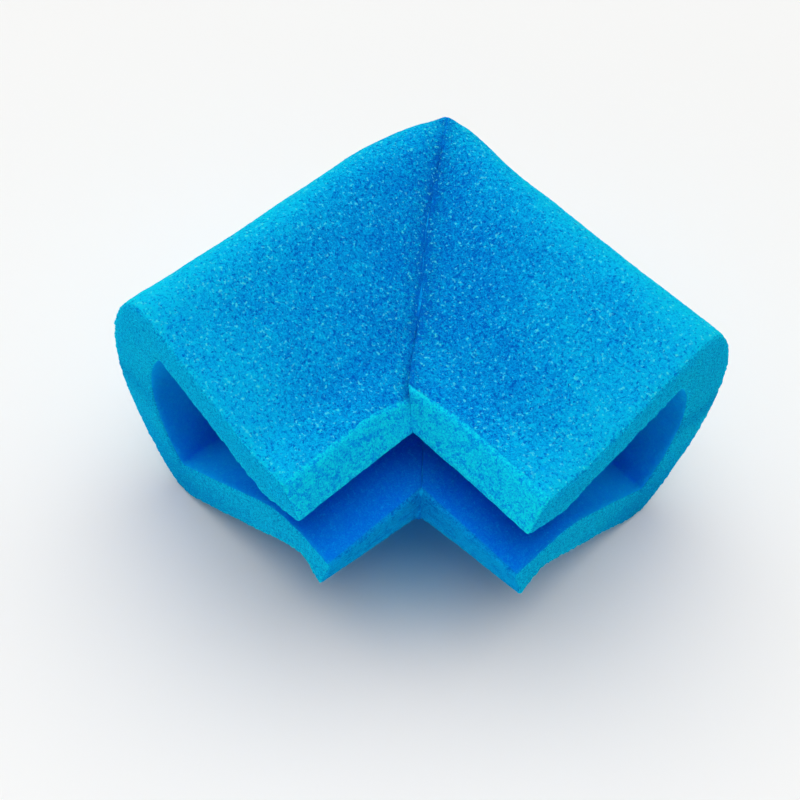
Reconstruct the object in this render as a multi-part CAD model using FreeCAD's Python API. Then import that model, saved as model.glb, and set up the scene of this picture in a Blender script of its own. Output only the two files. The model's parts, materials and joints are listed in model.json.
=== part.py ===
import FreeCAD, Part
import math
import os

# A corner protector of closed-cell foam: two short lengths of one C-shaped edge profile, cut at
# 45 degrees and heat welded into an L. Each length grips a panel edge between two springy lips.
# The profile is drawn in two coordinates: depth runs inwards from the outermost line of the back,
# and z runs up from the surface that the protector rests on. Each length bends open along the
# outermost line of its back, so the foam above that line is one solid and the foam below another.

# Driving dimensions, in millimetres and degrees
arm_length = 120.0
overall_height = 88.0
back_radius = 64.0
back_wall = 17.0
back_crown_height = 44.0
top_corner_radius = 10.0
foot_corner_radius = 6.0
foot_width = 4.0

upper_lip_wall = 13.5
upper_lip_slope = 21.0
upper_flare_rise = 2.0
upper_front_height = 12.5
upper_front_lean = 30.0
upper_lip_reach = 81.5
neck_reach = 68.0
upper_bend_setback = 5.0

mouth_gap = 5.0
lower_lip_wall = 15.0
lower_lip_reach = 87.5
lower_lip_drop = 3.0
lower_front_height = 18.0
lower_front_lean = 9.0
notch_reach = 76.0

flex_line_clearance = 0.3
weld_thickness = 0.6
weld_clearance = 0.1

half_arm = arm_length / 2
back_centre = (back_radius, back_crown_height)


def add(point, length, angle):
    """The point that lies a length away from another, at an angle in degrees above depth."""
    turn = math.radians(angle)
    return (point[0] + length * math.cos(turn), point[1] + length * math.sin(turn))


def on_line(point, angle, depth):
    """The point at a depth on the line through a point, at an angle in degrees above depth."""
    return (depth, point[1] + (depth - point[0]) * math.tan(math.radians(angle)))


def on_back(radius, z):
    """The point of the back's circle of this radius at a height."""
    run = math.sqrt(radius ** 2 - (z - back_crown_height) ** 2)
    return (back_radius - run, z)


def line_meets_back(point, angle, radius):
    """Where a line first meets the back's circle of this radius, coming from the mouth."""
    turn = math.radians(angle)
    away = (point[0] - back_centre[0], point[1] - back_centre[1])
    along = away[0] * math.cos(turn) + away[1] * math.sin(turn)
    reach = math.sqrt(along ** 2 - away[0] ** 2 - away[1] ** 2 + radius ** 2)
    return add(point, -along - reach, angle)


def nested_corner(radius, centre_z):
    """Centre of a corner circle inside the back's outer circle, and the point where they touch."""
    nested = on_back(back_radius - radius, centre_z)
    turn = math.degrees(math.atan2(nested[1] - back_centre[1], nested[0] - back_centre[0]))
    return nested, add(back_centre, back_radius, turn)


def arc(start, centre, radius, end):
    """The shorter arc from start to end on a circle."""
    mean = ((start[0] + end[0]) / 2 - centre[0], (start[1] + end[1]) / 2 - centre[1])
    share = radius / math.hypot(*mean)
    return ("arc", start, (centre[0] + mean[0] * share, centre[1] + mean[1] * share), end)


def straight(*points):
    """The straight runs that join points."""
    return [("line", a, b) for a, b in zip(points, points[1:])]


inner_radius = back_radius - back_wall
above_flex = back_crown_height + flex_line_clearance / 2
below_flex = back_crown_height - flex_line_clearance / 2

# Upper lip: its underside runs parallel to its top, and its end turns up a little
top_centre, top_touch = nested_corner(top_corner_radius, overall_height - top_corner_radius)
top_start = add(top_centre, top_corner_radius, 90 - upper_lip_slope)
under_start = add(top_start, upper_lip_wall, -90 - upper_lip_slope)
upper_neck = on_line(under_start, -upper_lip_slope, neck_reach)
upper_bend = on_line(top_start, -upper_lip_slope, neck_reach - upper_bend_setback)
upper_front_angle = upper_front_lean - 90
front_depth = upper_front_height * math.cos(math.radians(upper_front_angle))
upper_front_top = on_line(upper_bend, upper_flare_rise, upper_lip_reach - front_depth)
upper_front_foot = add(upper_front_top, upper_front_height, upper_front_angle)
upper_root = line_meets_back(under_start, -upper_lip_slope, inner_radius)

# Lower lip: its crest stands the mouth gap below the upper lip, and its end turns down
foot_centre, foot_touch = nested_corner(foot_corner_radius, foot_corner_radius)
foot_back = (foot_centre[0], 0.0)
foot_front = (foot_centre[0] + foot_width, 0.0)
lower_crest = (upper_neck[0], upper_neck[1] - mouth_gap)
crest_run = (lower_crest[0] - foot_front[0], lower_crest[1] - foot_front[1])
crest_angle = math.atan2(crest_run[1], crest_run[0])
lower_lip_slope = math.degrees(crest_angle - math.asin(lower_lip_wall / math.hypot(*crest_run)))
lower_root = line_meets_back(lower_crest, lower_lip_slope, inner_radius)
lower_front_top = (lower_lip_reach, lower_crest[1] - lower_lip_drop)
lower_front_foot = add(lower_front_top, lower_front_height, -90 - lower_front_lean)
lower_notch = on_line(foot_front, lower_lip_slope, notch_reach)

upper_outline = [
    arc(on_back(back_radius, above_flex), back_centre, back_radius, top_touch),
    arc(top_touch, top_centre, top_corner_radius, top_start),
    *straight(top_start, upper_bend, upper_front_top, upper_front_foot, upper_neck, upper_root),
    arc(upper_root, back_centre, inner_radius, on_back(inner_radius, above_flex)),
    *straight(on_back(inner_radius, above_flex), on_back(back_radius, above_flex)),
]
lower_outline = [
    arc(on_back(back_radius, below_flex), back_centre, back_radius, foot_touch),
    arc(foot_touch, foot_centre, foot_corner_radius, foot_back),
    *straight(foot_back, foot_front, lower_notch, lower_front_foot, lower_front_top),
    *straight(lower_front_top, lower_crest, lower_root),
    arc(lower_root, back_centre, inner_radius, on_back(inner_radius, below_flex)),
    *straight(on_back(inner_radius, below_flex), on_back(back_radius, below_flex)),
]


def bar(outline):
    """A whole length of profile for the right arm, with the mitre not yet cut."""
    def place(point):
        return FreeCAD.Vector(-half_arm, half_arm - point[0], point[1])

    edges = []
    for kind, *points in outline:
        corners = [place(point) for point in points]
        edges.append(Part.Arc(*corners).toShape() if kind == "arc" else Part.makeLine(*corners))
    face = Part.Face(Part.Wire(edges))
    return face.extrude(FreeCAD.Vector(arm_length, 0, 0))


def mirrored(shape):
    """The same shape on the left arm, across the mitre."""
    return shape.mirror(FreeCAD.Vector(0, 0, 0), FreeCAD.Vector(1, 1, 0))


def mitre_slab(near, far):
    """Everything between two distances from the mitre, on the right arm's side."""
    size = 3 * arm_length
    slab = Part.makeBox(far - near, 2 * size, 2 * size, FreeCAD.Vector(near, -size, -size))
    slab.rotate(FreeCAD.Vector(0, 0, 0), FreeCAD.Vector(0, 0, 1), 45)
    return slab


def save(node, shape):
    """Checks that a piece is one sound solid, and writes it."""
    if len(shape.Solids) != 1 or not shape.isValid():
        raise ValueError(node + " is not one valid solid")
    solid = shape.Solids[0]
    solid.exportStep("parts/" + node + ".step")
    box = solid.BoundBox
    print(node, "volume", round(solid.Volume), "x", round(box.XMin, 1), round(box.XMax, 1),
          "y", round(box.YMin, 1), round(box.YMax, 1), "z", round(box.ZMin, 1), round(box.ZMax, 1))


os.makedirs("parts", exist_ok=True)

half_weld = weld_thickness / 2
for level, outline in (("upper", upper_outline), ("lower", lower_outline)):
    whole_bar = bar(outline)
    right_arm = whole_bar.common(mitre_slab(half_weld, 2 * arm_length))
    film = whole_bar.common(mirrored(whole_bar))
    film = film.common(mitre_slab(-half_weld, half_weld - weld_clearance))
    save("right_" + level + "_shell", right_arm)
    save("left_" + level + "_shell", mirrored(right_arm))
    save(level + "_weld_film", film)

named_points = (
    ("top touch", top_touch), ("top start", top_start), ("upper bend", upper_bend),
    ("upper front top", upper_front_top), ("upper front foot", upper_front_foot),
    ("upper neck", upper_neck), ("upper root", upper_root), ("lower root", lower_root),
    ("lower crest", lower_crest), ("lower front top", lower_front_top),
    ("lower front foot", lower_front_foot), ("lower notch", lower_notch),
    ("foot front", foot_front), ("foot back", foot_back), ("foot touch", foot_touch),
)
for label, point in named_points:
    print(label, "depth", round(point[0], 2), "z", round(point[1], 2))
print("lower lip slope", round(lower_lip_slope, 2))
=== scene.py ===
import bmesh
import bpy
import json
import math
from mathutils import Matrix, Vector


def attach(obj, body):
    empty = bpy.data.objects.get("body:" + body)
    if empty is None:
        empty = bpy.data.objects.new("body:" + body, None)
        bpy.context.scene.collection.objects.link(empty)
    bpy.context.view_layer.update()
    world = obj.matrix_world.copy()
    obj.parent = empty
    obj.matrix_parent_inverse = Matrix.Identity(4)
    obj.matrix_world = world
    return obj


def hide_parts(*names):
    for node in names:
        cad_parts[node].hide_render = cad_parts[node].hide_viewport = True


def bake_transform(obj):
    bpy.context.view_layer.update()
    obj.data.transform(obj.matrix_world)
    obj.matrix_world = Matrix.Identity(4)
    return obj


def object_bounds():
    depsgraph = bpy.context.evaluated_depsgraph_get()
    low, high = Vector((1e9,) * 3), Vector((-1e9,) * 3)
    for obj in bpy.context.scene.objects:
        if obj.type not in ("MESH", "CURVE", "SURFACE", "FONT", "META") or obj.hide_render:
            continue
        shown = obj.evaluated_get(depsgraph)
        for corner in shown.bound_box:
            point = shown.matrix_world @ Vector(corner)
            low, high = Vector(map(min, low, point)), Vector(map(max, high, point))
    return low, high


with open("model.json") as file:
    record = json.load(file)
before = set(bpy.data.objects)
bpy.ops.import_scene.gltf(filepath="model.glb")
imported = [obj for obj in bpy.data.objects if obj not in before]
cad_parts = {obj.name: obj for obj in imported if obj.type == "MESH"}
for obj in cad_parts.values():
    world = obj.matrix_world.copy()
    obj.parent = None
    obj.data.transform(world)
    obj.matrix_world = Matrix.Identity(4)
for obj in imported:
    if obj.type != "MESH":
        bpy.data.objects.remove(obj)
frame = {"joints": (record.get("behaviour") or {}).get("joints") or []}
cadLow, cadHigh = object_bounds()
print("frame loaded, corner protector", [round(v, 4) for v in cadHigh - cadLow])

mm = 0.001
diagonal = 0.7071  # each share of a unit vector that lies at 45 degrees
joints = {joint["name"]: joint for joint in frame["joints"]}
hingeHeight = joints["left_flex"]["pos_m"][2]
halfArm = cadHigh.x
armLength = 2 * halfArm

bpy.context.scene.view_settings.view_transform = "Standard"


# node helpers

class Wire:
    # one socket, with arithmetic that adds Math nodes
    def __init__(self, book, socket):
        self.book = book
        self.socket = socket

    def math(self, operation, first, second=0.0, clamp=False):
        settings = {"operation": operation, "use_clamp": clamp}
        return self.book.make("ShaderNodeMath", settings, {0: first, 1: second}, 0)

    def __add__(self, other):
        return self.math("ADD", self, other)

    def __radd__(self, other):
        return self.math("ADD", other, self)

    def __sub__(self, other):
        return self.math("SUBTRACT", self, other)

    def __rsub__(self, other):
        return self.math("SUBTRACT", other, self)

    def __mul__(self, other):
        return self.math("MULTIPLY", self, other)

    def __rmul__(self, other):
        return self.math("MULTIPLY", other, self)

    def __truediv__(self, other):
        return self.math("DIVIDE", self, other)

    def __rtruediv__(self, other):
        return self.math("DIVIDE", other, self)

    def __abs__(self):
        return self.math("ABSOLUTE", self)

    def low(self, other):
        return self.math("MINIMUM", self, other)

    def high(self, other):
        return self.math("MAXIMUM", self, other)

    def clamped(self):
        return self.math("ADD", self, 0.0, True)


class NodeBook:
    # a node tree, and the one way that nodes are added to it
    def __init__(self, tree):
        self.tree = tree

    def make(self, kind, settings=None, sockets=None, take=None):
        node = self.tree.nodes.new(kind)
        for name, value in (settings or {}).items():
            if name == "stops":
                while len(node.color_ramp.elements) < len(value):
                    node.color_ramp.elements.new(0.5)
                for element, (place, colour) in zip(node.color_ramp.elements, value):
                    element.position = place
                    element.color = colour
            else:
                setattr(node, name, value)
        for name, value in (sockets or {}).items():
            if isinstance(value, Wire):
                self.tree.links.new(value.socket, node.inputs[name])
            elif value is not None:
                node.inputs[name].default_value = value
        return node if take is None else Wire(self, node.outputs[take])

    def out(self, node, name):
        return Wire(self, node.outputs[name])

    def split(self, vector):
        node = self.make("ShaderNodeSeparateXYZ", {}, {0: vector})
        return [self.out(node, axis) for axis in range(3)]

    def scaled(self, vector, factor):
        settings = {"operation": "SCALE"}
        return self.make("ShaderNodeVectorMath", settings, {0: vector, "Scale": factor}, 0)

    def added(self, vector, other):
        return self.make("ShaderNodeVectorMath", {"operation": "ADD"}, {0: vector, 1: other}, 0)

    def ranged(self, value, start, end, low=0.0, high=1.0):
        settings = {"interpolation_type": "SMOOTHSTEP"}
        return self.make("ShaderNodeMapRange", settings,
                         {0: value, 1: start, 2: end, 3: low, 4: high}, 0)

    def noise(self, place, size, detail=2.0, rough=0.5, twist=0.0):
        sockets = {"Vector": place, "Scale": 1 / size, "Detail": detail,
                   "Roughness": rough, "Distortion": twist}
        return self.make("ShaderNodeTexNoise", {"noise_dimensions": "3D"}, sockets, 0)

    def blended(self, share, first, second):
        settings = {"data_type": "RGBA", "blend_type": "MIX"}
        return self.make("ShaderNodeMix", settings, {0: share, 6: first, 7: second}, 2)


# the profile
# depth runs inwards from the outermost line of the back, height up from the resting surface

profile = {
    "backCentre": (64.0, 44.0), "backRadius": 64.0, "innerRadius": 47.0,
    "topCentre": (22.0, 78.0), "topRadius": 10.0,
    "footCentre": (20.18, 6.0), "footRadius": 6.0,
    "upperFrontTop": (75.25, 73.42), "upperFrontFoot": (81.5, 62.59),
    "upperBend": (63.0, 72.99), "upperNeck": (68.0, 56.61),
    "topStart": (25.63, 87.34), "upperRoot": (26.62, 72.49),
    "topTouch": (14.28, 84.3), "footTouch": (15.65, 2.07),
    "footBack": (20.18, 0.0), "footFront": (24.18, 0.0),
    "lowerRoot": (24.3, 18.84), "lowerNotch": (76.0, 38.86),
    "lowerCrest": (68.0, 51.61), "lowerFrontFoot": (84.68, 30.83),
    "lowerFrontTop": (87.5, 48.61),
    "innerUpperTurn": 143.0, "innerLowerTurn": 213.0,  # where the inner arc faces a corner
}


def straightRun(start, end, count):
    return [(start[0] + (end[0] - start[0]) * n / count,
             start[1] + (end[1] - start[1]) * n / count) for n in range(count)]


def arcRun(centre, radius, start, end, count):
    # points of an arc between two angles in degrees, without its last one
    turns = [math.radians(start + (end - start) * n / count) for n in range(count)]
    return [(centre[0] + radius * math.cos(t), centre[1] + radius * math.sin(t)) for t in turns]


def angleOf(centre, point):
    return math.degrees(math.atan2(point[1] - centre[1], point[0] - centre[0])) % 360


def softened(points, middle, reach, times):
    # rounds the line near one of its points, and keeps the number of points
    line = list(points)
    for turn in range(times):
        kept = list(line)
        for n in range(max(1, middle - reach), min(len(line) - 1, middle + reach + 1)):
            line[n] = tuple((kept[n - 1][axis] + 2 * kept[n][axis] + kept[n + 1][axis]) / 4
                            for axis in (0, 1))
    return line


def profileLines(p):
    # the outside and the inside of the C, with a pair of points at each station
    back, inner = p["backCentre"], p["innerRadius"]
    upperTurn, lowerTurn = angleOf(back, p["upperRoot"]), angleOf(back, p["lowerRoot"])
    outside = (
        straightRun(p["upperFrontTop"], p["upperBend"], 3)
        + straightRun(p["upperBend"], p["topStart"], 9)
        + arcRun(p["topCentre"], p["topRadius"], angleOf(p["topCentre"], p["topStart"]),
                 angleOf(back, p["topTouch"]), 5)
        + arcRun(back, p["backRadius"], angleOf(back, p["topTouch"]), 180, 9)
        + arcRun(back, p["backRadius"], 180, angleOf(back, p["footTouch"]), 9)
        + arcRun(p["footCentre"], p["footRadius"], angleOf(back, p["footTouch"]), 270, 2)
        + straightRun(p["footBack"], p["footFront"], 1)
        + straightRun(p["footFront"], p["lowerNotch"], 13)
        + straightRun(p["lowerNotch"], p["lowerFrontFoot"], 3)
        + [p["lowerFrontFoot"]])
    inside = (
        straightRun(p["upperFrontFoot"], p["upperNeck"], 3)
        + straightRun(p["upperNeck"], p["upperRoot"], 9)
        + arcRun(back, inner, upperTurn, p["innerUpperTurn"], 5)
        + arcRun(back, inner, p["innerUpperTurn"], 180, 9)
        + arcRun(back, inner, 180, p["innerLowerTurn"], 9)
        + arcRun(back, inner, p["innerLowerTurn"], lowerTurn, 3)
        + straightRun(p["lowerRoot"], p["lowerCrest"], 13)
        + straightRun(p["lowerCrest"], p["lowerFrontTop"], 3)
        + [p["lowerFrontTop"]])
    rootStation, crestStation = 38, 51
    inside = softened(inside, rootStation, 4, 5)
    inside = softened(inside, crestStation, 3, 3)
    outside = softened(outside, crestStation, 1, 1)
    return outside, inside


def blockMesh(name, stations, across, along, place):
    # the skin of a block of cells, each corner put in place by a function of three shares
    corners, points, faces = {}, [], []

    def corner(i, j, k):
        if (i, j, k) not in corners:
            corners[(i, j, k)] = len(points)
            points.append(place(i, j / across, k / along))
        return corners[(i, j, k)]

    for i in range(stations):
        for j in range(across):
            for k in (0, along):
                faces.append([corner(i, j, k), corner(i + 1, j, k),
                              corner(i + 1, j + 1, k), corner(i, j + 1, k)])
        for k in range(along):
            for j in (0, across):
                faces.append([corner(i, j, k), corner(i + 1, j, k),
                              corner(i + 1, j, k + 1), corner(i, j, k + 1)])
    for j in range(across):
        for k in range(along):
            for i in (0, stations):
                faces.append([corner(i, j, k), corner(i, j + 1, k),
                              corner(i, j + 1, k + 1), corner(i, j, k + 1)])
    mesh = bpy.data.meshes.new(name)
    mesh.from_pydata(points, [], faces)
    zones, grid = [0.0] * (3 * len(points)), [0.0] * (3 * len(points))
    for (i, j, k), n in corners.items():
        zones[3 * n:3 * n + 3] = (i in (0, stations), k == along, j == across)
        grid[3 * n:3 * n + 3] = (i, j / across, k / along)
    for label, values in (("zone", zones), ("grid", grid)):
        layer = mesh.attributes.new(label, "FLOAT_VECTOR", "POINT")
        layer.data.foreach_set("vector", values)
    build = bmesh.new()
    build.from_mesh(mesh)
    bmesh.ops.recalc_face_normals(build, faces=build.faces)
    build.to_mesh(mesh)
    build.free()
    made = bpy.data.objects.new(name, mesh)
    bpy.context.scene.collection.objects.link(made)
    return made


def armPoint(side, length, depth, height):
    # a point of the left or right arm, in the row frame
    if side == "right":
        return Vector((-halfArm + length, halfArm - depth, height))
    return Vector((-halfArm + depth, halfArm - length, height))


# foam skin, as a Geometry Nodes tree

keptCrisp = {"mitreRate": 20.0, "endRate": 30.0, "mitreHold": 0.85, "endHold": 0.5}


def foamSkinTree():
    tree = bpy.data.node_groups.new("foamSkin", "GeometryNodeTree")
    book = NodeBook(tree)
    face = tree.interface
    face.new_socket("Geometry", in_out="INPUT", socket_type="NodeSocketGeometry")
    face.new_socket("Geometry", in_out="OUTPUT", socket_type="NodeSocketGeometry")
    kinds = [("Fineness", "NodeSocketInt"), ("Edge Softening", "NodeSocketInt"),
             ("Dent Size", "NodeSocketFloat"), ("Dent Height", "NodeSocketFloat"),
             ("Wrinkle Size", "NodeSocketFloat"), ("Wrinkle Height", "NodeSocketFloat"),
             ("Cell Size", "NodeSocketFloat"), ("Cell Height", "NodeSocketFloat"),
             ("Torn Height", "NodeSocketFloat"),
             ("Seed", "NodeSocketFloat"), ("Foam", "NodeSocketMaterial")]
    for name, kind in kinds:
        face.new_socket(name, in_out="INPUT", socket_type=kind)
    given = book.make("NodeGroupInput")
    value = {name: book.out(given, name) for name, kind in kinds}
    fine = book.make("GeometryNodeSubdivideMesh", {},
                     {0: book.out(given, "Geometry"), 1: value["Fineness"]}, 0)
    place = book.make("GeometryNodeInputPosition", {}, {}, 0)
    grid = book.make("GeometryNodeInputNamedAttribute", {"data_type": "FLOAT_VECTOR"},
                     {"Name": "grid"}, 0)
    share = book.split(grid)[2]
    # the softening leaves the mitre edges and the cut ends crisper than the rest
    mitre = (1.0 - share * keptCrisp["mitreRate"]).clamped()
    ending = (share * keptCrisp["endRate"] - (keptCrisp["endRate"] - 1)).clamped()
    crisp = (mitre * keptCrisp["mitreHold"]).high(ending * keptCrisp["endHold"])
    blur = book.make("GeometryNodeBlurAttribute", {"data_type": "FLOAT_VECTOR"},
                     {"Value": place, "Iterations": value["Edge Softening"],
                      "Weight": 1.0 - crisp}, "Value")
    soft = book.make("GeometryNodeSetPosition", {}, {"Geometry": fine, "Position": blur}, 0)
    kept = book.make("GeometryNodeStoreNamedAttribute",
                     {"data_type": "FLOAT_VECTOR", "domain": "POINT"},
                     {"Geometry": soft, "Name": "restPlace", "Value": place}, 0)
    start = book.make("ShaderNodeCombineXYZ", {}, {"X": value["Seed"], "Z": value["Seed"]}, 0)
    seeded = book.added(place, start)

    inverse = 1.0 / value["Dent Size"]
    dents = book.make("ShaderNodeTexNoise", {"noise_dimensions": "3D"},
                      {"Vector": book.scaled(seeded, inverse), "Scale": 1.0,
                       "Detail": 2.0}, 0) - 0.5
    wrinkles = book.make("ShaderNodeTexNoise", {"noise_dimensions": "3D"},
                         {"Vector": book.scaled(seeded, 1.0 / value["Wrinkle Size"]),
                          "Scale": 1.0, "Detail": 2.0, "Distortion": 0.6}, 0) - 0.5
    cells = book.make("ShaderNodeTexVoronoi", {"feature": "F1"},
                      {"Vector": book.scaled(seeded, 1.0 / value["Cell Size"]),
                       "Scale": 1.0}, "Distance")
    torn = book.make("ShaderNodeTexNoise", {"noise_dimensions": "3D"},
                     {"Vector": book.scaled(seeded, 1.0 / value["Cell Size"]),
                      "Scale": 0.9, "Detail": 3.0, "Roughness": 0.7}, 0) - 0.5
    rise = (dents * value["Dent Height"] * 2.0 + wrinkles * value["Wrinkle Height"] * 2.0
            - cells * value["Cell Height"] + torn * ending * value["Torn Height"])
    normal = book.make("GeometryNodeInputNormal", {}, {}, 0)
    pushed = book.make("GeometryNodeSetPosition", {},
                       {"Geometry": kept, "Offset": book.scaled(normal, rise)}, 0)
    smooth = book.make("GeometryNodeSetShadeSmooth", {}, {"Geometry": pushed}, 0)
    real = book.make("GeometryNodeRealizeInstances", {}, {"Geometry": smooth}, 0)
    painted = book.make("GeometryNodeSetMaterial", {},
                        {"Geometry": real, "Material": value["Foam"]}, 0)
    book.make("NodeGroupOutput", {}, {"Geometry": painted})
    return tree


def grownSkin(made, tree, values):
    # runs the tree on an object, and turns the result into a plain mesh
    modifier = made.modifiers.new("foamSkin", "NODES")
    modifier.node_group = tree
    for item in tree.interface.items_tree:
        if item.in_out == "INPUT" and item.name in values:
            modifier[item.identifier] = values[item.name]
    bpy.context.view_layer.update()
    evaluated = made.evaluated_get(bpy.context.evaluated_depsgraph_get())
    plain = bpy.data.meshes.new_from_object(evaluated)
    made.modifiers.remove(modifier)
    old = made.data
    made.data = plain
    bpy.data.meshes.remove(old)
    plain.name = made.name
    return made


# materials

foamLook = {
    "deep": (0.0008, 0.15, 0.66, 1), "mid": (0.0012, 0.36, 0.85, 1),
    "light": (0.004, 0.62, 1.0, 1), "glintColour": (0.09, 0.82, 1.0, 1),
    "cut": (0.004, 0.60, 0.98, 1), "cutDark": (0.0012, 0.24, 0.68, 1),
    # the lower lip's front colours are painted shade; the upper lip's front is lighter, partly
    # the cut foam's own colour and partly painted light
    "front": (0.006, 0.78, 1.0, 1), "frontDark": (0.001, 0.29, 0.86, 1),
    "lowFrontShade": (0.002, 0.36, 0.80, 1), "lowFrontShadeDark": (0.001, 0.16, 0.60, 1),
    # the inside colours are painted shade, deep blue for light bounced through the foam
    "inside": (0.0008, 0.18, 0.80, 1), "insideDeep": (0.001, 0.30, 1.0, 1),
    # sizes of the marks
    "grainSize": 1.15 * mm, "patchSize": 1.5 * mm, "pitSize": 0.8 * mm, "speckSize": 0.5 * mm,
    "glintSize": 0.8 * mm, "veinSize": 2.6 * mm, "cloudSize": 13 * mm, "seamPatch": 5 * mm,
    # how wide each mark is in its noise, and where each kind of face begins
    "dashTwist": 0.9, "dashWidths": (0.075, 0.09), "patchBand": (0.40, 0.62),
    "pitBand": (0.47, 0.30), "glintBand": (0.59, 0.70), "crestWidth": 0.10,
    "frontZone": (0.82, 0.97), "cutZone": (0.90, 0.98), "innerZone": (0.5, 0.9),
    # where the tone changes, and where painted shade and painted light lie
    "valleyShadeReach": 44 * mm, "seamWidth": 3.5 * mm, "rimLightDepths": (34 * mm, 8 * mm),
    "endLightDepths": (26 * mm, 2 * mm), "lipLightDepths": (58 * mm, 76 * mm),
    "insideDepths": (62 * mm, 34 * mm), "frontShadeHeights": (50 * mm, 58 * mm),
    "endShadeHeights": (34 * mm, 6 * mm),
    # how much each mark changes it
    "baseTone": -0.16, "valleyShadeTone": 0.30, "edgeLightTone": 0.42, "cloudTone": 0.45, "seamTone": 0.6,
    "grainTone": 0.85, "speckTone": 1.5, "grainLift": 0.09, "glintShare": 0.8,
    "roughness": 0.8, "bumpStrength": 0.8, "bumpHeight": 0.35 * mm,
    "glowWeight": 0.8, "glowReach": (0.15, 0.7, 1.0), "glowScale": 9 * mm,
    "hingeFade": (0.5 * mm, 7 * mm), "wallFade": (24 * mm, 34 * mm),
    "mitreFade": (0.5 * mm, 6 * mm),
}


def newMaterial(name):
    made = bpy.data.materials.new(name)
    made.use_nodes = True
    made.node_tree.nodes.clear()
    return made, NodeBook(made.node_tree)


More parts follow.
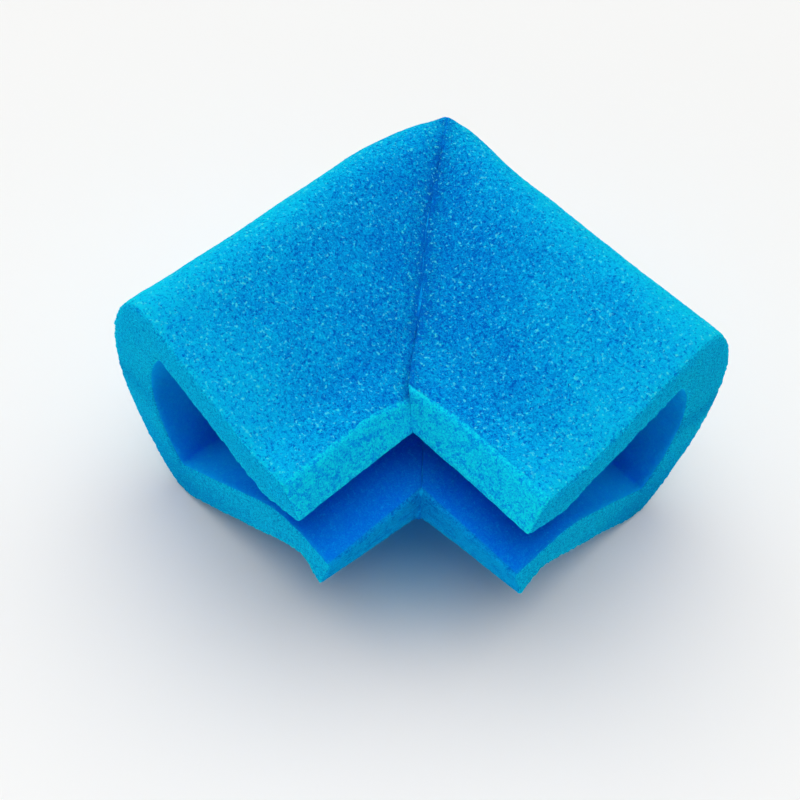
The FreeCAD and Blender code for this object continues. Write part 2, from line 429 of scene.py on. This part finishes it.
def foamMaterial(v):
    made, book = newMaterial("blueFoam")
    place = book.make("ShaderNodeAttribute", {"attribute_name": "restPlace"}, {}, "Vector")
    zone = book.make("ShaderNodeAttribute", {"attribute_name": "zone"}, {}, "Vector")
    front, cut, inner = book.split(zone)
    front, cut = book.ranged(front, *v["frontZone"]), book.ranged(cut, *v["cutZone"])
    inner = book.ranged(inner, *v["innerZone"])
    x, y, z = book.split(place)
    depth = (x + halfArm).low(halfArm - y)
    length = (x + halfArm).high(halfArm - y)
    grid = book.make("ShaderNodeAttribute", {"attribute_name": "grid"}, {}, "Vector")
    fromMitre = book.split(grid)[2] * (armLength - depth) * diagonal

    # grain of the skin: short bright squiggles between darker pits, with a few pale flecks that
    # are painted glints
    def squiggle(size, offset, width):
        bent = book.noise(book.added(place, (offset, 0, offset)), size, 1.0, 0.5,
                          v["dashTwist"])
        return book.ranged(abs(bent - 0.5), width, 0.0)

    strength = book.ranged(book.noise(place, v["patchSize"], 1.0), *v["patchBand"])
    wide, narrow = v["dashWidths"]
    dashes = (squiggle(v["grainSize"], 0.3, wide) * strength).high(
        squiggle(v["grainSize"] * 0.7, 0.9, narrow) * 0.6)
    shifted = book.added(place, (0.5, 0.2, 0))
    pits = book.ranged(book.noise(shifted, v["pitSize"], 1.0), *v["pitBand"])
    specks = book.noise(place, v["speckSize"], 2.0, 0.7) - 0.5
    web = dashes * 0.85 - pits * 0.55
    loud = 1.0 - (front * 0.55).high(cut * 0.5).high(inner * 0.6)  # skin shows the most grain

    clouds = book.noise(place, v["cloudSize"], 3.0, 0.6)
    # painted shade: the faces are darker towards the mitre valley and lighter further along the
    # arm
    valleyShade = book.ranged(fromMitre, 0.0, v["valleyShadeReach"])
    # painted light: lighter near the outer back edge, the cut ends and the front of the lip,
    # where light passes through thin foam
    rim = book.ranged(depth, *v["rimLightDepths"])
    fromEnd = armLength - length
    ending = book.ranged(fromEnd, *v["endLightDepths"])
    lipLight = book.ranged(depth, *v["lipLightDepths"])
    seam = book.ranged(fromMitre, v["seamWidth"], 0.0) * book.noise(place, v["seamPatch"], 2.0)
    edges = (rim + ending * 0.5 + lipLight * 0.2).low(1.0)
    tone = (valleyShade * v["valleyShadeTone"] + edges * v["edgeLightTone"] + clouds * v["cloudTone"]
            - seam * v["seamTone"] + v["baseTone"])
    shade = tone + (web * v["grainTone"] + specks * v["speckTone"] + v["grainLift"]) * loud
    skin = book.make("ShaderNodeValToRGB", {"stops": [
        (0.0, v["deep"]), (0.5, v["mid"]), (1.0, v["light"])]}, {0: shade.clamped()}, 0)
    # painted glints: sparse pale flecks in the base colour stand in for sparkles of light on the
    # cells
    paintedGlints = book.ranged(book.noise(place, v["glintSize"], 1.0), *v["glintBand"]) * strength
    skin = book.blended(paintedGlints * loud * v["glintShare"], skin, v["glintColour"])

    # the cut front faces: wavy crests; painted shade darkens the lower lip, which lies in the
    # shade, and the upper lip's front is lighter, partly the smoother cut foam's own colour and
    # partly painted light
    veins = book.noise(place, v["veinSize"], 3.0, 0.6, 0.8)
    crests = book.ranged(abs(veins - 0.5), v["crestWidth"], 0.0)
    soft = (0.50 + (veins - 0.5) * 1.8 + crests * 0.25 + (dashes - 0.3) * 0.9
            + specks * 2.6).clamped()
    upper = book.ranged(z, *v["frontShadeHeights"])
    fronts = book.blended(upper, book.blended(soft, v["lowFrontShadeDark"], v["lowFrontShade"]),
                          book.blended(soft, v["frontDark"], v["front"]))
    # painted shade: the cut end faces are darker towards the floor
    rough = (0.42 + specks * 3.4 + (dashes - pits) * 0.5
             - book.ranged(z, *v["endShadeHeights"]) * 0.42).clamped()
    ends = book.blended(rough, v["cutDark"], v["cut"])
    # painted shade: the inner walls are darker and deeper blue, and lighter further in towards
    # the back wall
    deepIn = book.ranged(depth, *v["insideDepths"])
    shadedWalls = book.blended(deepIn, v["inside"], v["insideDeep"])
    speckle = ((dashes - 0.25) * 0.35 + specks * 0.9).clamped()
    shadedWalls = book.blended(speckle, shadedWalls, v["light"])
    skin = book.blended(inner * 0.85, skin, shadedWalls)
    colour = book.blended(front, skin, fronts)
    colour = book.blended(cut, colour, ends)

    calm = (front * 0.8).high(cut * 0.5).high(inner * 0.7)
    height = (web * 1.2 + (specks + 0.5) * 0.6) * (1.0 - calm) + veins * front * 0.3
    bump = book.make("ShaderNodeBump", {}, {
        "Strength": v["bumpStrength"], "Distance": v["bumpHeight"], "Height": height}, 0)
    plain = {"Base Color": colour, "Roughness": v["roughness"], "Specular IOR Level": 0.0,
             "Normal": bump}
    scatter = {"Subsurface Weight": v["glowWeight"], "Subsurface Radius": v["glowReach"],
               "Subsurface Scale": v["glowScale"]}
    matt = book.make("ShaderNodeBsdfPrincipled", {}, plain, 0)
    glow = book.make("ShaderNodeBsdfPrincipled", {}, {**plain, **scatter}, 0)
    # light doesn't pass from piece to piece, so the glow fades out where pieces meet
    toHinge = book.ranged(abs(z - hingeHeight), *v["hingeFade"])
    toHinge = toHinge.high(book.ranged(depth, *v["wallFade"]))
    share = toHinge * book.ranged(fromMitre, *v["mitreFade"])
    both = book.make("ShaderNodeMixShader", {}, {0: share, 1: matt, 2: glow}, 0)
    book.make("ShaderNodeOutputMaterial", {}, {"Surface": both})
    return made


weldLook = {
    "dark": (0.001, 0.18, 0.66, 1), "light": (0.002, 0.44, 0.90, 1), "roughness": 0.7,
    "beadSize": 1.6 * mm, "patchSize": 7 * mm, "bumpHeight": 0.4 * mm,
}


def weldMaterial(v):
    made, book = newMaterial("meltedWeld")
    place = book.make("ShaderNodeAttribute", {"attribute_name": "restPlace"}, {}, "Vector")
    beads = book.noise(place, v["beadSize"], 4.0, 0.7, 0.8)
    patches = book.noise(place, v["patchSize"], 2.0) - 0.5
    tone = book.ranged(beads + patches * 0.9, 0.35, 0.75)
    bump = book.make("ShaderNodeBump", {}, {
        "Strength": 0.6, "Distance": v["bumpHeight"], "Height": beads}, 0)
    shader = book.make("ShaderNodeBsdfPrincipled", {}, {
        "Base Color": book.blended(tone, v["dark"], v["light"]), "Roughness": v["roughness"],
        "Specular IOR Level": 0.0, "Normal": bump}, 0)
    book.make("ShaderNodeOutputMaterial", {}, {"Surface": shader})
    return made


def floorMaterial(v):
    made, book = newMaterial("paleFloor")
    place = book.make("ShaderNodeTexCoord", {}, {}, "Object")
    cloud = book.noise(place, v["floorCloud"], 2.0)
    colour = book.blended(cloud, v["floorDark"], v["floorLight"])
    # painted shadow: the floor close to the foam is painted darker and blue, for the foam's
    # shadow and the blue light that the foam lets through
    x, y, z = book.split(place)
    x, y = x - v["shadowTintPlace"], y + v["shadowTintPlace"]
    away = (x * x + y * y).math("POWER", x * x + y * y, 0.5)
    shadowShare = book.ranged(away, v["shadowTintReach"], 0.0)
    colour = book.blended(shadowShare * shadowShare, colour, v["shadowTint"])
    shader = book.make("ShaderNodeBsdfPrincipled", {}, {
        "Base Color": colour, "Roughness": 0.8, "Specular IOR Level": 0.1}, 0)
    book.make("ShaderNodeOutputMaterial", {}, {"Surface": shader})
    return made


blueFoam = foamMaterial(foamLook)
meltedWeld = weldMaterial(weldLook)
print("materials made")


# the two foam arms

settling = {
    "lowerSway": 1.9 * mm, "lowerSwayEnd": 1.1 * mm, "upperSway": -1.3 * mm,
    "cornerSway": 4.2 * mm, "cornerStart": 14 * mm, "cornerEnd": 46 * mm,
    "tipPull": 0.8 * mm, "cornerSwell": {"left": 1.3 * mm, "right": 0.6 * mm, "weld": 0},
    "cornerRise": {"left": 1.2 * mm, "right": 0.5 * mm, "weld": 0},
    "footSpread": 1.9 * mm, "footTuck": -2.0 * mm, "lipPush": 1.6 * mm,
    "lipStep": {"left": -3.4 * mm, "right": 1.2 * mm, "weld": -1.0 * mm},
    "lipOverlap": {"left": 0, "right": -1.8 * mm, "weld": 0},
    # where along the profile and the arm each of them fades
    "lowerStations": 12, "footStations": 4, "lipStations": 5, "reachDepths": (24 * mm, 78 * mm),
    "swayShare": 3, "swellRise": 0.16, "swellFall": (0.22, 0.8), "tipShare": 0.12,
    "lipShare": 2.5, "mitreShare": 6,
}
hingeStation = 26  # the pair of profile points at the bending line
wallStations = 7  # how many pairs on each side of it are sure to be back wall


def eased(value, start, end):
    share = min(1.0, max(0.0, (value - start) / (end - start)))
    return share * share * (3 - 2 * share)


def settledPoint(side, i, acrossShare, alongShare, depth, point, v):
    # how far the soft foam lies from its drawn shape: both arms lean to one side together
    lower = eased(i, hingeStation, hingeStation + v["lowerStations"])
    reach = eased(depth, *v["reachDepths"])
    nearMitre = 1 - alongShare
    sway = lower * reach * (v["lowerSway"] + v["lowerSwayEnd"] * alongShare)
    sway += (1 - lower) * reach * v["upperSway"] * nearMitre
    corner = (1 - lower) * (1 - eased(depth, v["cornerStart"], v["cornerEnd"]))
    sway += corner * v["cornerSway"] * eased(1 - v["swayShare"] * alongShare, 0, 1)
    swell = eased(alongShare, 0.0, v["swellRise"]) * (1 - eased(alongShare, *v["swellFall"]))
    tip = 1 - eased(alongShare, 0.0, v["tipShare"])
    spread = corner * (tip * v["tipPull"] - swell * v["cornerSwell"][side])
    rise = corner * swell * v["cornerRise"][side]
    last = len(outside) - 1
    atFoot = eased(i, last - v["footStations"], last) * (1 - acrossShare)
    spread += atFoot * (v["footSpread"] * nearMitre + v["footTuck"] * alongShare)
    atLip = eased(v["lipStations"] - i, 0, v["lipStations"]) * (1 - acrossShare)
    atLip *= eased(1 - v["lipShare"] * alongShare, 0, 1)
    rise += atLip * v["lipStep"][side]
    spread += atLip * v["lipPush"]
    sway += atLip * v["lipOverlap"][side]
    shared = eased(1 - v["mitreShare"] * alongShare, 0, 1)  # at the mitre both arms move along it
    ahead = {"right": Vector((shared, -1, 0)), "left": Vector((1, -shared, 0)),
             "weld": Vector((1, -1, 0))}[side]
    leaning = Vector((diagonal, diagonal, 0)) * sway
    return point + leaning + ahead * spread + Vector((0, 0, rise))


armShape = {
    "across": 4, "along": 20, "fineness": 3, "softening": 14,
    "dentSize": 16 * mm, "dentHeight": 0.45 * mm,
    "wrinkleSize": 3.2 * mm, "wrinkleHeight": 0.10 * mm,
    "cellSize": 1.6 * mm, "cellHeight": 0.16 * mm, "tornHeight": 1.3 * mm,
    "weldRoom": -0.2 * mm, "seeds": {"left": 0.37, "right": 1.91},
}

skinTree = foamSkinTree()
outside, inside = profileLines(profile)


def buildArm(side, v):
    def place(i, acrossShare, alongShare):
        depth = (outside[i][0] + (inside[i][0] - outside[i][0]) * acrossShare) * mm
        height = (outside[i][1] + (inside[i][1] - outside[i][1]) * acrossShare) * mm
        start = depth + v["weldRoom"]
        point = armPoint(side, start + (armLength - start) * alongShare, depth, height)
        return settledPoint(side, i, acrossShare, alongShare, depth, point, settling)

    made = blockMesh(side + "Arm", len(outside) - 1, v["across"], v["along"], place)
    return grownSkin(made, skinTree, {
        "Fineness": v["fineness"], "Edge Softening": v["softening"],
        "Dent Size": v["dentSize"], "Dent Height": v["dentHeight"],
        "Wrinkle Size": v["wrinkleSize"], "Wrinkle Height": v["wrinkleHeight"],
        "Cell Size": v["cellSize"], "Cell Height": v["cellHeight"],
        "Torn Height": v["tornHeight"], "Seed": v["seeds"][side], "Foam": blueFoam})


def cutAtHinge(arm, name, keepUpper):
    # one half of a piece, closed with a flat face at the height of the bending line
    mesh = arm.data.copy()
    mesh.name = name
    build = bmesh.new()
    build.from_mesh(mesh)
    grid = build.verts.layers.float_vector["grid"]

    def station(face):
        return sum(corner[grid].x for corner in face.verts) / len(face.verts)

    wall = [f for f in build.faces if abs(station(f) - hingeStation) < wallStations]
    edges = list(dict.fromkeys(e for f in wall for e in f.edges))
    verts = list(dict.fromkeys(corner for f in wall for corner in f.verts))
    cut = bmesh.ops.bisect_plane(build, geom=wall + edges + verts,
                                 plane_co=(0, 0, hingeHeight), plane_no=(0, 0, 1))
    rim = [e for e in cut["geom_cut"] if isinstance(e, bmesh.types.BMEdge)]
    gone = [f for f in build.faces if keepUpper != (
        f.calc_center_median().z > hingeHeight and station(f) < hingeStation + wallStations)]
    bmesh.ops.delete(build, geom=gone, context="FACES")
    cap = bmesh.ops.edgeloop_fill(build, edges=rim)
    for face in cap["faces"]:
        face.smooth = False
        face.normal_update()
        if (face.normal.z > 0) == keepUpper:
            face.normal_flip()
    build.to_mesh(mesh)
    build.free()
    half = bpy.data.objects.new(name, mesh)
    bpy.context.scene.collection.objects.link(half)
    return half


pieces = {}
for side in ("left", "right"):
    arm = buildArm(side, armShape)
    pieces[side + "UpperFoam"] = cutAtHinge(arm, side + "UpperFoam", True)
    pieces[side + "LowerFoam"] = cutAtHinge(arm, side + "LowerFoam", False)
    bpy.data.meshes.remove(arm.data)
    print(side, "arm made", [len(pieces[side + level + "Foam"].data.polygons)
                             for level in ("Upper", "Lower")])


# bending core: foam behind the bending line

coreShape = {"radius": 16.3 * mm, "low": -6.0, "high": 26.0, "turns": 8, "across": 4,
             "along": 24, "endRoom": 1.0 * mm, "mitreRoom": 1.0 * mm, "hollow": 0.04}


def buildCore(side, v):
    def place(i, acrossShare, alongShare):
        turn = math.radians(v["low"] + (v["high"] - v["low"]) * i / v["turns"])
        radius = v["radius"] * (v["hollow"] + (1 - v["hollow"]) * acrossShare)
        depth = radius * math.cos(turn)
        start = depth + v["mitreRoom"]
        end = armLength - v["endRoom"]
        point = armPoint(side, start + (end - start) * alongShare, depth,
                         hingeHeight + radius * math.sin(turn))
        return settledPoint(side, hingeStation, acrossShare, alongShare, depth, point, settling)

    made = blockMesh(side + "BendCore", v["turns"], v["across"], v["along"], place)
    return grownSkin(made, skinTree, {
        "Fineness": 2, "Edge Softening": 1, "Dent Size": 16 * mm, "Dent Height": 0.0,
        "Wrinkle Size": 3 * mm, "Wrinkle Height": 0.1 * mm, "Cell Size": 1.6 * mm,
        "Cell Height": 0.1 * mm, "Seed": 2.4, "Foam": blueFoam})


for side in ("left", "right"):
    pieces[side + "BendCore"] = buildCore(side, coreShape)
print("bending cores made")


# weld beads in the mitre

weldShape = {"halfThick": 0.5 * mm, "sunk": 0.45 * mm, "across": 4, "along": 1}


def buildWeld(v):
    def place(i, acrossShare, alongShare):
        thick = math.hypot(inside[i][0] - outside[i][0], inside[i][1] - outside[i][1]) * mm
        share = v["sunk"] / thick
        share = share + (1 - 2 * share) * acrossShare
        depth = (outside[i][0] + (inside[i][0] - outside[i][0]) * share) * mm
        height = (outside[i][1] + (inside[i][1] - outside[i][1]) * share) * mm
        off = v["halfThick"] * (2 * alongShare - 1) * diagonal
        point = Vector((-halfArm + depth + off, halfArm - depth + off, height))
        return settledPoint("weld", i, share, 0, depth, point, settling)

    made = blockMesh("weld", len(outside) - 1, v["across"], v["along"], place)
    return grownSkin(made, skinTree, {
        "Fineness": 3, "Edge Softening": 1, "Dent Size": 4 * mm, "Dent Height": 0.5 * mm,
        "Wrinkle Size": 2 * mm, "Wrinkle Height": 0.2 * mm, "Cell Size": 1.6 * mm,
        "Cell Height": 0.0, "Seed": 0.9, "Foam": meltedWeld})


weld = buildWeld(weldShape)
pieces["upperWeld"] = cutAtHinge(weld, "upperWeld", True)
pieces["lowerWeld"] = cutAtHinge(weld, "lowerWeld", False)
bpy.data.meshes.remove(weld.data)
print("weld made")


# what each piece rides on

for side in ("left", "right"):
    outer = armPoint(side, 0, 0, hingeHeight)
    upper = pieces[side + "UpperFoam"]
    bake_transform(upper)
    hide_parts(side + "_upper_shell")
    lower = pieces[side + "LowerFoam"]
    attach(lower, "lower_shells")
    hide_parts(side + "_lower_shell")
    core = pieces[side + "BendCore"]
    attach(core, "lower_shells")
for level in ("upper", "lower"):
    bead = pieces[level + "Weld"]
    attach(bead, "lower_shells")
    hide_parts(level + "_weld_film")
print("pieces ride")


# floor, light and camera

studio = {
    "floorSize": 3.0, "floorDark": (0.90, 0.905, 0.90, 1), "floorLight": (0.92, 0.925, 0.92, 1),
    "floorCloud": 0.2, "shadowTintPlace": 14 * mm, "shadowTintReach": 62 * mm,
    "shadowTint": (0.24, 0.68, 0.93, 1), "skyColour": (1.0, 0.992, 0.985, 1),
    "overhead": 2.55, "sides": 1.3, "behind": 1.4, "lowFill": 1.0,
    "frontWay": (diagonal, -diagonal, 0), "fillWay": (0, -1, 0),
    # heights on the sky where the panel, its middle and the fill begin
    "panelEdge": (0.60, 0.69), "capEdge": (0.87, 0.94), "fillBand": (0.36, 0.26),
}


def buildFloor(v):
    half = v["floorSize"] / 2
    mesh = bpy.data.meshes.new("floor")
    mesh.from_pydata([(-half, -half, 0), (half, -half, 0), (half, half, 0), (-half, half, 0)],
                     [], [(0, 1, 2, 3)])
    mesh.materials.append(floorMaterial(v))
    floor = bpy.data.objects.new("floor", mesh)
    bpy.context.scene.collection.objects.link(floor)


def buildSky(v):
    # a large soft panel overhead that leans back, and a low fill from the front
    world = bpy.data.worlds.new("softRoom")
    world.use_nodes = True
    world.node_tree.nodes.clear()
    book = NodeBook(world.node_tree)
    way = book.make("ShaderNodeTexCoord", {}, {}, "Generated")
    height = book.split(way)[2]
    square = (1.0 - height * height).high(0.0004)
    flat = square.math("POWER", square, 0.5)

    def facing(direction):
        settings = {"operation": "DOT_PRODUCT"}
        return book.make("ShaderNodeVectorMath", settings, {0: way, 1: direction}, 1) / flat

    high = (v["sides"] - facing(v["frontWay"]) * v["behind"]).high(0.0)
    top = book.ranged(height, *v["panelEdge"])
    cap = book.ranged(height, *v["capEdge"])
    panel = top * (high * (1.0 - cap) + cap * v["overhead"])
    fill = book.ranged(height, *v["fillBand"]) * book.ranged(facing(v["fillWay"]), -0.1, 0.3)
    sky = book.make("ShaderNodeBackground", {}, {
        "Color": v["skyColour"], "Strength": panel + fill * v["lowFill"]}, 0)
    book.make("ShaderNodeOutputWorld", {}, {"Surface": sky})
    bpy.context.scene.world = world


buildFloor(studio)
buildSky(studio)

cameraSetting = {"place": (127.8 * mm, -135.7 * mm, 308.9 * mm), "turn": 0.7813,
                 "tilt": 0.9767, "roll": 0.0577, "lens": 51.75}


def addCamera(v):
    turn, tilt, roll = v["turn"], v["tilt"], v["roll"]
    ahead = Vector((-math.sin(turn) * math.cos(tilt), math.cos(turn) * math.cos(tilt),
                    -math.sin(tilt)))
    right = Vector((math.cos(turn), math.sin(turn), 0))
    up = right.cross(ahead)
    side = right * math.cos(roll) + up * math.sin(roll)
    top = up * math.cos(roll) - right * math.sin(roll)
    lens = bpy.data.cameras.new("viewCamera")
    lens.lens = v["lens"]
    made = bpy.data.objects.new("viewCamera", lens)
    turned = Matrix((side, top, -ahead)).transposed().to_4x4()
    made.matrix_world = Matrix.Translation(v["place"]) @ turned
    bpy.context.scene.collection.objects.link(made)
    bpy.context.scene.camera = made


addCamera(cameraSetting)
print("studio set")
